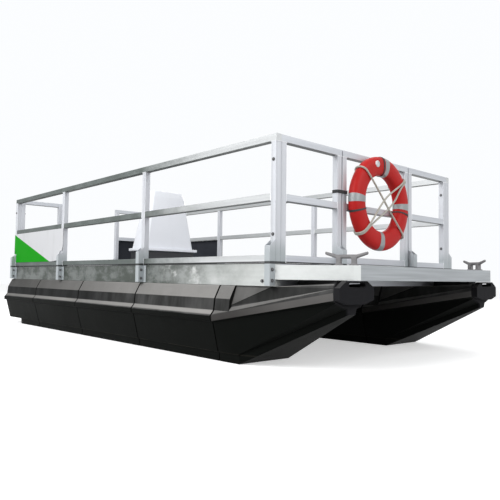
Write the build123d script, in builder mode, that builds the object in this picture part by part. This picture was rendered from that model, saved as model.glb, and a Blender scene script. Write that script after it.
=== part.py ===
"""Work pontoon boat: two black moulded floats in bolted modules carry an aluminium deck frame,
a plank deck with a tapered bow platform, square-tube guard rails with a hinged bow gate,
a lifebuoy on the gate, two mooring cleats, a steering stand and an outboard motor board.

X runs forward, Y to port and Z up from the keels; millimetres.
"""
import os
from math import atan2, cos, degrees
from build123d import *

# Deck frame
deck_length = 4740            # stern beam's aft face to bow beam's front face
deck_width = 2300             # over the side beams
beam_height = 155
beam_width = 50
beam_lip = 14                 # raised edge along the top and bottom of a side beam
beam_recess = 3
inner_beam_width = 60
inner_beam_inset = 205        # float centre line to inner beam centre line
bearer_width = 50
bearer_count = 5
plank_count = 22
plank_thickness = 40
plank_gap = 4
plank_bevel = 4

# Bow platform
platform_reach = 500          # ahead of the deck
cheek_run = 250               # each cheek's slant towards the centre line
platform_drop = 15            # below the deck
fascia_height = 95
fascia_thickness = 40
platform_bearer_spread = 900

# Floats
float_setback = 255           # side beam's face to the float's centre line
float_height = 550
float_overhang = 100          # stern of the float behind the deck
stern_module_length = 980
mid_module_count = 3
bow_joint = 560               # behind the deck's front
seam_half = 5                 # half of the groove between two modules
seam_depth = 9
rub_half = 345                # half width over the rub rail
rub_drop = 220                # top of the rub rail below the float's top
rub_depth = 40
shoulder_radius = 18
keel_height = 65
keel_half = 251
keel_start = 400              # ahead of the float's stern
stern_lip = 40                # rub rail behind the float's stern face
stern_corner = 35
collar_end = 395              # raised shoulder of the bow module, behind the deck's front
rake_start = 350              # keel's rise, behind the deck's front
chin_half = 34                # half width of the keel under the nose
nose_tip = 470                # ahead of the deck's front
nose_bar = 40
eye_width = 170
eye_height = 28
eye_depth = 80
eye_roof = 12
nose_clearance = 3            # below the bow platform
facet_flatness = 0.01         # a side flatter than this is one facet

# Guard rails
tube = 50
tube_corner = 3
post_shares = {               # inner posts behind the deck's front, in deck lengths
    "starboard": (0.6973, 0.3466),
    "port": (0.7089, 0.3466),
}
rail_height = 863             # top of the top rail above the deck
mid_rail_rise = 415           # underside of the mid rail above the deck
bottom_rail_gap = 3
foot_top_rise = 150           # mitred top of a rail foot above the deck
foot_mitre = 38
foot_bottom_gap = 5
bracket_leg = 45
bracket_thickness = 5
gate_post_inner = 457         # face of a fixed gate post from the centre line
stern_post_starboard = 578    # centre of the inner post, starboard of the centre line
stern_post_port = 284
panel_thickness = 5
panel_inset = 8               # stern boards ahead of the aft face of the tubes
board_notch_gap = 5

# Bow gate and lifebuoy
gate_gap = 10                 # gate stile to fixed post
gate_ground = 10              # gate above the deck
lower_hinge = 230             # above the deck
upper_hinge = 690
hinge_leaf_height = 45
hinge_leaf_width = 36
hinge_leaf_thickness = 4
knuckle_radius = 12
pin_radius = 6
pin_clearance = 0.05
knuckle_gap = 0.5
latch_rise = 535              # above the deck
latch_height = 24
latch_wall = 3
latch_clearance = 5
latch_reach = 46              # tongue across the gate stile
ring_outer = 740
ring_hole = 440
ring_thickness = 100
ring_edge = 30                # chamfers round the limb, then over their own edges
ring_edge_step = 10
ring_offset = 45              # starboard of the centre line
ring_level = 492              # above the deck
ring_seat = 0.3

# Deck gear
cleat_length = 275
cleat_height = 70             # top of the horn's middle
cleat_ahead = 372
cleat_inset = 86              # inside the cheek's outer line
horn_radius = 12
horn_tip_radius = 9
horn_rise = 23                # tips above the horn's middle
cleat_leg_spread = 98
cleat_leg_width = 32
cleat_pad = 52
cleat_pad_thickness = 8
stand_behind = 2905           # steering stand's front foot, behind the deck's front
stand_length = 320
stand_width = 680
stand_top_length = 190
stand_top_width = 470
stand_lean = 44               # front edge's setback at the shoulder
stand_height = 685
stand_corner = 26
stand_rim = 22                # inset of the slanted rim round the top
stand_rim_height = 75
ledge_margin = 35
ledge_thickness = 30
plinth_height = 196

# Motor board at the stern
motor_board_thickness = 45
motor_board_width = 450
motor_board_height = 330
motor_board_top = 500
motor_board_behind = 50       # clear of the stern beam
motor_cheek = 10
motor_cheek_length = 300

# Levels and stations that follow
deck_top = float_height + beam_height
plank_under = deck_top - plank_thickness
platform_top = deck_top - platform_drop
platform_under = platform_top - fascia_height
overall_length = float_overhang + deck_length + platform_reach
deck_front = overall_length / 2 - platform_reach
deck_stern = deck_front - deck_length
float_stern = deck_stern - float_overhang
side_face = deck_width / 2
float_centre = side_face - float_setback
module_run = deck_length + float_overhang - bow_joint - stern_module_length
module_length = module_run / mid_module_count
rub_top = float_height - rub_drop
rub_foot = rub_top - rub_depth
nose_top = platform_under - nose_clearance
rail_y = side_face - tube / 2
post_top = deck_top + rail_height - tube
top_rail_z = post_top + tube / 2
mid_rail_z = deck_top + mid_rail_rise + tube / 2
bottom_rail_z = deck_top + bottom_rail_gap + tube / 2
bow_rail_x = deck_front - tube / 2
stern_rail_x = deck_stern + tube / 2
corner_post_y = side_face - 1.5 * tube
gate_post_y = gate_post_inner + tube / 2
post_stations = {
    side: (stern_rail_x, *(deck_front - share * deck_length for share in shares), bow_rail_x)
    for side, shares in post_shares.items()
}
SIDES = (("starboard", -1), ("port", 1))


def write(built, name):
    """Label a finished piece and store it under its node name."""
    built.part.label = name
    export_step(built.part, f"parts/{name}.step")


def bar(start, end):
    """Square tube with eased corners between two points on its centre line."""
    run = Vector(*end) - Vector(*start)
    across = (0, 0, 1) if abs(run.Z) < 1 else (1, 0, 0)
    with BuildSketch(Plane(start, x_dir=across, z_dir=run.normalized())) as section:
        Rectangle(tube, tube)
        chamfer(section.vertices(), tube_corner)
    extrude(section.sketch, amount=run.length)


def block(low, high):
    """Plain rectangular bar between two opposite corners."""
    with BuildSketch(Plane((low[0], low[1], low[2]))) as plan:
        Rectangle(high[0] - low[0], high[1] - low[1], align=(Align.MIN, Align.MIN))
    extrude(plan.sketch, amount=high[2] - low[2])


def outline(plane, points):
    """Closed straight-sided face on a plane."""
    with BuildSketch(plane) as sketch:
        with BuildLine():
            Polyline(*points, close=True)
        make_face()
    return sketch.sketch


def mirrored(half, centre):
    """Full cross-section from the half points, top to bottom, about a vertical centre line."""
    right = [(centre + y, z) for y, z in half]
    left = [(centre - y, z) for y, z in reversed(half)]
    return right + left


def across_boat(x):
    """Plane across the boat at a station, its X to port and its Y up."""
    return Plane((x, 0, 0), x_dir=(0, 1, 0), z_dir=(1, 0, 0))


def cut_corners(length, width, cut):
    """Corner loop of a rectangle with slanted corners, about its centre."""
    u, v = length / 2, width / 2
    return [(u, cut - v), (u, v - cut), (u - cut, v), (cut - u, v),
            (-u, v - cut), (-u, cut - v), (cut - u, -v), (u - cut, -v)]


def faceted(loops):
    """Solid with flat facets between loops of corners; a twisted side is folded outwards."""
    loops = [[Vector(*corner) for corner in loop] for loop in loops]
    faces = [Face(Wire.make_polygon(loop)) for loop in (loops[0], loops[-1])]
    for low, high in zip(loops, loops[1:]):
        middle = sum(low + high, Vector()) / (2 * len(low))
        for number in range(len(low)):
            a, b = low[number - 1], low[number]
            c, d = high[number], high[number - 1]
            if abs((b - a).cross(d - a).normalized().dot(c - a)) < facet_flatness:
                sides = [(a, b, c, d)]
            elif ((a + c) / 2 - middle).length > ((b + d) / 2 - middle).length:
                sides = [(a, b, c), (a, c, d)]
            else:
                sides = [(a, b, d), (b, c, d)]
            faces += [Face(Wire.make_polygon(side)) for side in sides]
    add(Solid(Shell(faces)))


os.makedirs("parts", exist_ok=True)

# Float section, as half width and height: deck edge, shoulder, side foot, rub rail, under side, chine
hull_half = (
    (rub_half - 90, float_height),
    (rub_half - 39, float_height - 97),
    (rub_half - 30, rub_top + 38),
    (rub_half, rub_top),
    (rub_half - 4, rub_foot),
    (rub_half - 23, rub_foot - 6),
    (keel_half + 16, keel_height),
)
keel_step = (keel_half + 6, keel_height)
keel_foot = (keel_half, 0)


def hull_length(x0, x1, centre, keel_from):
    """Straight stretch of a float with its keel and a seam groove at both ends."""
    hull = mirrored(hull_half, centre)
    keel = mirrored((keel_step, keel_foot), centre)
    with BuildSketch(across_boat(x0 + seam_half)) as section:
        with BuildLine():
            Polyline(*hull, close=True)
        make_face()
        fillet([corner for corner in section.vertices() if corner.Y > rub_top + 1], shoulder_radius)
    extrude(section.sketch, amount=x1 - x0 - 2 * seam_half)
    extrude(outline(across_boat(keel_from), keel), amount=x1 - keel_from - seam_half)
    seam_core(x0, x1, centre)


def seam_core(x0, x1, centre):
    """Inner body that shows in the seam grooves."""
    with BuildSketch(across_boat(x0)) as core:
        with BuildLine():
            Polyline(*mirrored(hull_half, centre), close=True)
        make_face()
        offset(amount=-seam_depth, kind=Kind.INTERSECTION)
    extrude(core.sketch, amount=x1 - x0)


# The bow module's rub rail rises in straight lines from the seam to the nose, as half width
# and height: top, ridge, foot and under side
bow_start = deck_front - bow_joint + seam_half
nose_back = deck_front + nose_tip - nose_bar
band_aft = hull_half[2:6]
band_fore = (
    (rub_half - 173, nose_top - 47),
    (rub_half - 169, nose_top - 72),
    (rub_half - 169, nose_top - 120),
    (rub_half - 195, nose_top - 136),
)


def band(x):
    """Half section of the bow's rub rail at a station."""
    share = (x - bow_start) / (nose_back - bow_start)
    return [(y0 + share * (y1 - y0), z0 + share * (z1 - z0))
            for (y0, z0), (y1, z1) in zip(band_aft, band_fore)]


# Lower bow: station, half width and height of the chine and of the keel's foot
keel_rows = (
    (bow_start, keel_half + 16, keel_height, keel_half, 0),
    (deck_front - rake_start, keel_half + 11, keel_height, keel_half - 3, 0),
    (nose_back, chin_half + 24, nose_top - 172, chin_half, nose_top - 212),
)
lower_bow = []
for x, chine_half, chine_z, foot_half, foot_z in keel_rows:
    under_half, under_z = band(x)[3]
    lower_bow.append((x, (
        (under_half - 15, under_z + 25), (under_half, under_z), (chine_half, chine_z),
        (chine_half - 10, chine_z), (foot_half, foot_z))))

# Upper bow: station, half width and height of the top, and the ridge's rise above the rub rail
top_rows = (
    (deck_front - collar_end - seam_depth, rub_half - 105, float_height, 14),
    (deck_front - 40, rub_half - 107, float_height, 84),
    (deck_front + 2, rub_half - 117, float_height, 78),
    (nose_back, rub_half - 181, nose_top - 17, 20),
)
upper_bow = []
for x, top_half, top_z, rise in top_rows:
    wall_half, wall_z = band(x)[0]
    upper_bow.append((x, (
        (top_half, top_z), (wall_half - 3, wall_z + rise), (wall_half - 1, wall_z),
        (wall_half - 20, wall_z - 30))))

collar_half = (*hull_half[:3], (rub_half - 55, rub_top + 10))
nose_half = (
    (rub_half - 240, nose_top), (rub_half - 195, nose_top - 26), (rub_half - 169, nose_top - 44),
    (rub_half - 169, nose_top - 120), (rub_half - 260, nose_top - 146),
)
eye_floor = nose_top - eye_roof - eye_height

for side, sign in SIDES:
    centre = sign * float_centre
    bow_seam = deck_front - bow_joint
    stern_seam = bow_seam - module_run

    for number in range(mid_module_count):
        seam = bow_seam - number * module_length
        with BuildPart() as module:
            hull_length(seam - module_length, seam, centre, seam - module_length + seam_half)
        write(module, f"{side}_float_mid_{number + 1}")

    with BuildPart() as stern_module:
        hull_length(float_stern + stern_lip, stern_seam, centre, float_stern + keel_start)
        extrude(outline(Plane.XY.offset(rub_foot), (
            (float_stern, centre - rub_half + stern_corner),
            (float_stern + stern_corner, centre - rub_half),
            (float_stern + 2 * stern_lip, centre - rub_half),
            (float_stern + 2 * stern_lip, centre + rub_half),
            (float_stern + stern_corner, centre + rub_half),
            (float_stern, centre + rub_half - stern_corner))), amount=rub_depth)
    write(stern_module, f"{side}_float_stern")

    with BuildPart() as bow_module:
        seam_core(bow_seam, bow_start + seam_depth, centre)
        rail = [(bow_start, band_aft), (nose_back, band_fore)]
        for stations in (rail, lower_bow, upper_bow):
            faceted([[(x, y, z) for y, z in mirrored(half, centre)] for x, half in stations])
        with BuildSketch(across_boat(bow_start)) as collar:
            with BuildLine():
                Polyline(*mirrored(collar_half, centre), close=True)
            make_face()
            fillet([corner for corner in collar.vertices() if corner.Y > rub_top + 50], shoulder_radius)
        extrude(collar.sketch, amount=deck_front - collar_end - bow_start)
        nose = across_boat(nose_back)
        extrude(outline(nose, mirrored(nose_half, centre)), amount=nose_bar)
        with BuildSketch(nose) as eye:
            with Locations((centre, eye_floor + eye_height / 2)):
                SlotOverall(eye_width, eye_height)
        extrude(eye.sketch, amount=nose_bar, mode=Mode.SUBTRACT)
        with BuildSketch(Plane((nose_back, centre, eye_floor))) as pocket:
            Rectangle(eye_depth, eye_width, align=(Align.MAX, Align.CENTER))
        extrude(pocket.sketch, amount=platform_under - eye_floor, mode=Mode.SUBTRACT)
    write(bow_module, f"{side}_float_bow")

# Side beams with a shallow recess between two lips on the outer face
for side, sign in SIDES:
    outer = sign * side_face
    inner = sign * (side_face - beam_width)
    web = sign * (side_face - beam_recess)
    with BuildPart() as side_beam:
        section = outline(across_boat(deck_stern), (
            (inner, float_height), (outer, float_height), (outer, float_height + beam_lip),
            (web, float_height + beam_lip), (web, deck_top - beam_lip),
            (outer, deck_top - beam_lip), (outer, deck_top), (inner, deck_top)))
        extrude(section, amount=deck_length)
    write(side_beam, f"{side}_side_beam")

# End beams close the frame at the bow and the stern
inside = side_face - beam_width
with BuildPart() as end_beams:
    for x in (deck_stern, deck_front - beam_width):
        block((x, -inside, float_height), (x + beam_width, inside, deck_top))
write(end_beams, "end_beams")

# Inner beams stand on the floats, and bearers span the tunnel between them
inner_beam_y = float_centre - inner_beam_inset
with BuildPart() as inner_beams:
    for side, sign in SIDES:
        y = sign * inner_beam_y - inner_beam_width / 2
        block((deck_stern + beam_width, y, float_height),
              (deck_front - beam_width, y + inner_beam_width, plank_under))
write(inner_beams, "inner_beams")

bearer_half = inner_beam_y - inner_beam_width / 2
bearer_pitch = (deck_length - 2 * beam_width) / (bearer_count + 1)
first_bearer = deck_stern + beam_width + bearer_pitch
with BuildPart() as tunnel_bearers:
    for number in range(bearer_count):
        x = first_bearer + number * bearer_pitch - bearer_width / 2
        block((x, -bearer_half, float_height), (x + bearer_width, bearer_half, plank_under))
write(tunnel_bearers, "tunnel_bearers")

# Deck planks run across the boat between the side beams
plank_pitch = (deck_length - 2 * beam_width) / plank_count
with BuildPart() as deck_planks:
    for number in range(plank_count):
        low = deck_stern + beam_width + number * plank_pitch + plank_gap / 2
        high = low + plank_pitch - plank_gap
        plank = outline(Plane((0, -inside, 0), x_dir=(1, 0, 0), z_dir=(0, -1, 0)), (
            (low, plank_under), (high, plank_under), (high, deck_top - plank_bevel),
            (high - plank_bevel, deck_top), (low + plank_bevel, deck_top),
            (low, deck_top - plank_bevel)))
        extrude(plank, amount=-2 * inside)
write(deck_planks, "deck_planks")

# Bow platform: a front fascia and two slanted cheeks around a plate, on two bearers
front_half = side_face - cheek_run
cheek_angle = atan2(cheek_run, platform_reach)
cheek_inset = fascia_thickness / cos(cheek_angle)
platform_front = deck_front + platform_reach
fascia_back = platform_front - fascia_thickness
fascia_back_half = front_half + cheek_run * fascia_thickness / platform_reach
low_plane = Plane.XY.offset(platform_under)
with BuildPart() as bow_fascia:
    extrude(outline(low_plane, (
        (platform_front, -front_half), (platform_front, front_half),
        (fascia_back, fascia_back_half), (fascia_back, -fascia_back_half))), amount=fascia_height)
write(bow_fascia, "bow_fascia")

with BuildPart() as bow_cheeks:
    for side, sign in SIDES:
        extrude(outline(low_plane, (
            (deck_front, sign * side_face), (fascia_back, sign * fascia_back_half),
            (fascia_back, sign * (fascia_back_half - cheek_inset)),
            (deck_front, sign * (side_face - cheek_inset)))), amount=fascia_height)
write(bow_cheeks, "bow_cheeks")

plate_back_half = side_face - cheek_inset
plate_front_half = fascia_back_half - cheek_inset
with BuildPart() as bow_plate:
    extrude(outline(Plane.XY.offset(platform_top - plank_thickness), (
        (deck_front, -plate_back_half), (fascia_back, -plate_front_half),
        (fascia_back, plate_front_half), (deck_front, plate_back_half))), amount=plank_thickness)
write(bow_plate, "bow_platform_plate")

with BuildPart() as platform_bearers:
    for side, sign in SIDES:
        y = sign * platform_bearer_spread / 2 - bearer_width / 2
        block((deck_front, y, platform_under),
              (fascia_back, y + bearer_width, platform_top - plank_thickness))
write(platform_bearers, "bow_platform_bearers")


def foot(plane, low):
    """Mitred tube foot against the frame, drawn as reach and height, centred on its post."""
    profile = outline(plane, (
        (0, low), (tube, low), (tube, deck_top + foot_top_rise - foot_mitre),
        (0, deck_top + foot_top_rise)))
    extrude(profile, amount=tube / 2, both=True)


# Side rails: posts with outboard feet, and rails butted between them under a long top rail
foot_low = float_height + foot_bottom_gap
for side, sign in SIDES:
    y = sign * rail_y
    with BuildPart() as side_posts:
        for x in post_stations[side]:
            bar((x, y, deck_top), (x, y, post_top))
            foot(Plane((x, sign * side_face, 0), x_dir=(0, sign, 0), z_dir=(sign, 0, 0)), foot_low)
    write(side_posts, f"{side}_rail_posts")

    with BuildPart() as side_rails:
        bar((deck_stern, y, top_rail_z), (deck_front, y, top_rail_z))
        for aft, fore in zip(post_stations[side], post_stations[side][1:]):
            for z in (mid_rail_z, bottom_rail_z):
                bar((aft + tube / 2, y, z), (fore - tube / 2, y, z))
    write(side_rails, f"{side}_rails")

# Angle brackets beside the feet; the bow corner's lies behind its foot
with BuildPart() as rail_brackets:
    for side, sign in SIDES:
        for x in post_stations[side]:
            ahead = -1 if x == bow_rail_x else 1
            root = x + ahead * tube / 2
            angle = outline(Plane.XY.offset(foot_low), (
                (root, sign * side_face), (root + ahead * bracket_leg, sign * side_face),
                (root + ahead * bracket_leg, sign * (side_face + bracket_thickness)),
                (root + ahead * bracket_thickness, sign * (side_face + bracket_thickness)),
                (root + ahead * bracket_thickness, sign * (side_face + bracket_leg)),
                (root, sign * (side_face + bracket_leg))))
            extrude(angle, amount=deck_top - foot_low)
write(rail_brackets, "rail_brackets")

# Bow rails: a framed panel each side of the gate
with BuildPart() as bow_posts:
    for side, sign in SIDES:
        for y in (sign * corner_post_y, sign * gate_post_y):
            bar((bow_rail_x, y, deck_top), (bow_rail_x, y, post_top))
        foot(Plane((deck_front, sign * gate_post_y, 0), x_dir=(1, 0, 0), z_dir=(0, -1, 0)), platform_top)
write(bow_posts, "bow_rail_posts")

with BuildPart() as bow_rails:
    for side, sign in SIDES:
        outer, inner = sign * corner_post_y, sign * gate_post_y
        reach = sign * tube / 2
        bar((bow_rail_x, inner - reach, top_rail_z), (bow_rail_x, outer + reach, top_rail_z))
        for z in (mid_rail_z, bottom_rail_z):
            bar((bow_rail_x, inner + reach, z), (bow_rail_x, outer - reach, z))
write(bow_rails, "bow_rails")

# Stern rails: two unequal panels with a passage between them
stern_panels = ((-corner_post_y, -stern_post_starboard), (corner_post_y, stern_post_port))
with BuildPart() as stern_posts:
    for outer, inner in stern_panels:
        for y in (outer, inner):
            bar((stern_rail_x, y, deck_top), (stern_rail_x, y, post_top))
        foot(Plane((deck_stern, inner, 0), x_dir=(-1, 0, 0), z_dir=(0, 1, 0)), foot_low)
write(stern_posts, "stern_rail_posts")

with BuildPart() as stern_rails:
    for outer, inner in stern_panels:
        reach = tube / 2 if outer > inner else -tube / 2
        bar((stern_rail_x, inner - reach, top_rail_z), (stern_rail_x, outer + reach, top_rail_z))
        for z in (mid_rail_z, bottom_rail_z):
            bar((stern_rail_x, inner + reach, z), (stern_rail_x, outer - reach, z))
write(stern_rails, "stern_rails")

# Boards over the lower half of the stern bays, notched at the posts' feet
board_low = bottom_rail_z + tube / 2
board_high = mid_rail_z - tube / 2
bay_aft = deck_stern
notch_top = deck_top + foot_top_rise + board_notch_gap
for side, sign in SIDES:
    bay_fore = post_stations[side][1] + tube / 2
    with BuildPart() as side_board:
        face = outline(Plane((0, sign * side_face, 0), x_dir=(1, 0, 0), z_dir=(0, -1, 0)), (
            (bay_aft, notch_top), (bay_aft + tube + board_notch_gap, notch_top),
            (bay_aft + tube + board_notch_gap, board_low), (bay_fore - tube - board_notch_gap, board_low),
            (bay_fore - tube - board_notch_gap, notch_top), (bay_fore, notch_top),
            (bay_fore, board_high), (bay_aft, board_high)))
        extrude(face, amount=-sign * panel_thickness)
    write(side_board, f"{side}_side_board")

stern_face = deck_stern + panel_inset
with BuildPart() as stern_boards:
    for outer, inner in stern_panels:
        low_y = min(outer, inner) + tube / 2
        high_y = max(outer, inner) - tube / 2
        block((stern_face, low_y, board_low), (stern_face + panel_thickness, high_y, board_high))
write(stern_boards, "stern_boards")

# Bow gate, hung on its port stile
stile_outer = gate_post_inner - gate_gap
stile_y = stile_outer - tube / 2
gate_low = deck_top + gate_ground
with BuildPart() as gate_stiles:
    for side, sign in SIDES:
        bar((bow_rail_x, sign * stile_y, gate_low), (bow_rail_x, sign * stile_y, post_top))
write(gate_stiles, "gate_stiles")

with BuildPart() as gate_rails:
    bar((bow_rail_x, -stile_outer, top_rail_z), (bow_rail_x, stile_outer, top_rail_z))
    for z in (mid_rail_z, gate_low + tube / 2):
        bar((bow_rail_x, tube / 2 - stile_y, z), (bow_rail_x, stile_y - tube / 2, z))
write(gate_rails, "gate_rails")

# Lift-off hinges behind the port stile: pin halves on the fixed post, eyes on the gate
hinge_x = deck_front - tube - knuckle_radius - 1
hinge_y = gate_post_inner - gate_gap / 2
leaf_back = deck_front - tube
with BuildPart() as hinge_pins:
    for rise in (lower_hinge, upper_hinge):
        low = deck_top + rise - hinge_leaf_height
        with BuildSketch(Plane((hinge_x, hinge_y, low))) as knuckle:
            Circle(knuckle_radius)
        extrude(knuckle.sketch, amount=hinge_leaf_height)
        with BuildSketch(Plane((hinge_x, hinge_y, low))) as pin:
            Circle(pin_radius)
        extrude(pin.sketch, amount=2 * hinge_leaf_height)
        block((leaf_back - hinge_leaf_thickness, hinge_y, low),
              (leaf_back, gate_post_inner + hinge_leaf_width, low + hinge_leaf_height))
write(hinge_pins, "gate_hinge_pins")

with BuildPart() as hinge_eyes:
    for rise in (lower_hinge, upper_hinge):
        low = deck_top + rise + knuckle_gap
        height = hinge_leaf_height - knuckle_gap
        block((leaf_back - hinge_leaf_thickness, stile_outer - hinge_leaf_width, low),
              (leaf_back, hinge_y, low + height))
        with BuildSketch(Plane((hinge_x, hinge_y, low))) as knuckle:
            Circle(knuckle_radius)
        extrude(knuckle.sketch, amount=height)
        with BuildSketch(Plane((hinge_x, hinge_y, low))) as bore:
            Circle(pin_radius + pin_clearance)
        extrude(bore.sketch, amount=height, mode=Mode.SUBTRACT)
write(hinge_eyes, "gate_hinge_eyes")

# Latch strap round the starboard gate post, with a tongue that stops the gate from swinging forward
latch_z = deck_top + latch_rise
with BuildPart() as latch:
    with BuildSketch(Plane((bow_rail_x, -gate_post_y, latch_z))) as strap:
        Rectangle(tube + 2 * latch_wall, tube + 2 * latch_wall)
        chamfer(strap.vertices(), tube_corner + latch_wall)
        Rectangle(tube, tube, mode=Mode.SUBTRACT)
    extrude(strap.sketch, amount=latch_height)
    tongue_x = deck_front + latch_clearance
    block((deck_front + latch_wall / 2, -gate_post_y - tube / 4, latch_z),
          (tongue_x + latch_wall, -gate_post_y + tube / 4, latch_z + latch_height))
    block((tongue_x, -gate_post_y, latch_z),
          (tongue_x + latch_wall, latch_reach - stile_outer, latch_z + latch_height))
write(latch, "gate_latch")

# Lifebuoy flat against the front of the gate
ring_x = deck_front + ring_seat + ring_thickness / 2
ring_z = deck_top + ring_level
ring_middle = (ring_outer + ring_hole) / 4
with BuildPart() as lifebuoy:
    with BuildSketch(Plane((ring_x, -ring_offset, ring_z), x_dir=(1, 0, 0), z_dir=(0, -1, 0))) as limb:
        with Locations((0, ring_middle)):
            Rectangle(ring_thickness, (ring_outer - ring_hole) / 2)
        chamfer(limb.vertices(), ring_edge)
        chamfer(limb.vertices(), ring_edge_step)
    revolve(limb.sketch, axis=Axis((ring_x, -ring_offset, ring_z), (1, 0, 0)))
write(lifebuoy, "lifebuoy")

# Mooring cleats along the slanted cheeks: two legs under an eight-sided horn with raised tips
horn_level = cleat_height - horn_radius
horn_half = (cleat_leg_spread + cleat_leg_width) / 2
cleat_y = side_face - cheek_run * cleat_ahead / platform_reach - cleat_inset
for side, sign in SIDES:
    turn = -sign * degrees(cheek_angle)
    seat = Plane((deck_front + cleat_ahead, sign * cleat_y, platform_top)).rotated((0, 0, turn))
    middle = seat.origin + seat.z_dir * horn_level
    with BuildPart() as cleat:
        for width, height in ((cleat_pad, cleat_pad_thickness), (cleat_leg_width, horn_level)):
            with BuildSketch(seat):
                with GridLocations(cleat_leg_spread, 0, 2, 1):
                    Rectangle(width, width)
            extrude(amount=height)
        with BuildSketch(Plane(middle, x_dir=seat.z_dir, z_dir=seat.x_dir)):
            RegularPolygon(horn_radius, 8, major_radius=False, rotation=22.5)
        extrude(amount=horn_half, both=True)
        for way in (-1, 1):
            root = middle + seat.x_dir * way * horn_half
            tip = middle + seat.x_dir * way * cleat_length / 2 + seat.z_dir * horn_rise
            for place, radius in ((root, horn_radius), (tip, horn_tip_radius)):
                with BuildSketch(Plane(place, x_dir=seat.z_dir, z_dir=seat.x_dir)):
                    RegularPolygon(radius, 8, major_radius=False, rotation=22.5)
            loft(ruled=True)
    write(cleat, f"{side}_cleat")

# Steering stand: dark plinth, ledge and tapered shell
stand_x = deck_front - stand_behind
ledge_low = deck_top + plinth_height
shell_low = ledge_low + ledge_thickness
with BuildPart() as plinth:
    block((stand_x - stand_length, -stand_width / 2, deck_top), (stand_x, stand_width / 2, ledge_low))
write(plinth, "stand_plinth")

with BuildPart() as ledge:
    with BuildSketch(Plane((stand_x - stand_length, 0, ledge_low))) as ledge_plan:
        Rectangle(stand_length + ledge_margin, stand_width + 2 * ledge_margin,
                  align=(Align.MIN, Align.CENTER))
        chamfer(ledge_plan.vertices(), ledge_thickness / 3)
    extrude(amount=ledge_thickness)
write(ledge, "stand_ledge")

# Stand sections: rise, setback of the front edge, length and width
stand_sections = (
    (0, 0, stand_length, stand_width),
    (stand_height - stand_rim_height, stand_lean, stand_top_length, stand_top_width),
    (stand_height, stand_lean + stand_rim, stand_top_length - 2 * stand_rim,
     stand_top_width - 2 * stand_rim),
)
with BuildPart() as shell:
    levels = []
    for rise, setback, length, width in stand_sections:
        x, z = stand_x - setback - length / 2, shell_low + rise
        levels.append([(x + u, v, z) for u, v in cut_corners(length, width, stand_corner)])
    faceted(levels)
write(shell, "stand_shell")

# Motor board between two cheeks under the stern beam
board_x = deck_stern - motor_board_behind
board_aft = board_x - motor_board_thickness
board_low_z = motor_board_top - motor_board_height
board_half = motor_board_width / 2
with BuildPart() as motor_plate:
    block((board_aft, -board_half, board_low_z), (board_x, board_half, motor_board_top))
write(motor_plate, "motor_board")

with BuildPart() as motor_cheeks:
    for side, sign in SIDES:
        y = sign * (board_half + motor_cheek / 2)
        cheek = outline(Plane((0, y, 0), x_dir=(1, 0, 0), z_dir=(0, -1, 0)), (
            (deck_stern + motor_cheek_length, float_height), (deck_stern, float_height),
            (board_aft, motor_board_top), (board_aft, board_low_z),
            (board_x, board_low_z)))
        extrude(cheek, amount=motor_cheek / 2, both=True)
write(motor_cheeks, "motor_cheeks")
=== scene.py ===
from math import atan2, cos, degrees, pi, radians, sin

import bpy
from mathutils import Matrix, Vector


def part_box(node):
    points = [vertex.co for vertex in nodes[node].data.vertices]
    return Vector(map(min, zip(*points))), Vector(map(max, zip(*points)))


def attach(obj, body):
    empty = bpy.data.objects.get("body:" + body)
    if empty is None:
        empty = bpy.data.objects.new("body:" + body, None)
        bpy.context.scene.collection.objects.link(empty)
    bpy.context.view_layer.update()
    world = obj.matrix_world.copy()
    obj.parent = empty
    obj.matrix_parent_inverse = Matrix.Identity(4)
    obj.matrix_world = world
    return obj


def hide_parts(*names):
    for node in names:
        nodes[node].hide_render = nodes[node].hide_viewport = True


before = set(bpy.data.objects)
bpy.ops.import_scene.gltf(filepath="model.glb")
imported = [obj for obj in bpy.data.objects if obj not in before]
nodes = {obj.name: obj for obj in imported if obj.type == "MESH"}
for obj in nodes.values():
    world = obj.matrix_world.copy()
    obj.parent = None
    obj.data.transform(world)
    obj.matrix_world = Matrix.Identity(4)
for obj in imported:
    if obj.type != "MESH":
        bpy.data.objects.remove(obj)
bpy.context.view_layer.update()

scene = bpy.context.scene
scene.view_settings.view_transform = "Standard"

# Levels and stations of the boat, in metres
FRONT, STERN, SIDE = 2.170, -2.570, 1.150
DECK_LENGTH = FRONT - STERN
DECK_TOP, PLATFORM_TOP = 0.705, 0.690
SIDES = {"starboard": -1, "port": 1}

# Floats
MODULES = ("stern", "mid_1", "mid_2", "mid_3", "bow")
FLOAT_Y = 0.895
BOW_SEAM, NOSE = FRONT - 0.555, FRONT + 0.430
RUB_RISE = 0.189
CHINE = 0.066

# Guard rails of square tube
TUBE = 0.050
HALF_TUBE = TUBE / 2
POST_TOP = 1.518
MID_RAIL, BOTTOM_RAIL, GATE_RAIL = 1.145, 0.733, 0.740
RAIL_JOINT = 0.7065
RAIL_Y, BOW_X, STERN_X = SIDE - HALF_TUBE, FRONT - HALF_TUBE, STERN + HALF_TUBE
CORNER_Y, GATE_POST_Y, STILE_Y = 1.075, 0.482, 0.422
PASSAGE_POST_Y = {"starboard": -0.578, "port": 0.284}
FORE_POST_SHARE = 0.3466
AFT_POST_SHARE = {"starboard": 0.6973, "port": 0.7089}
POSTS = {
    side: (STERN_X, FRONT - AFT_POST_SHARE[side] * DECK_LENGTH, FRONT - FORE_POST_SHARE * DECK_LENGTH, BOW_X)
    for side in SIDES
}

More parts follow.
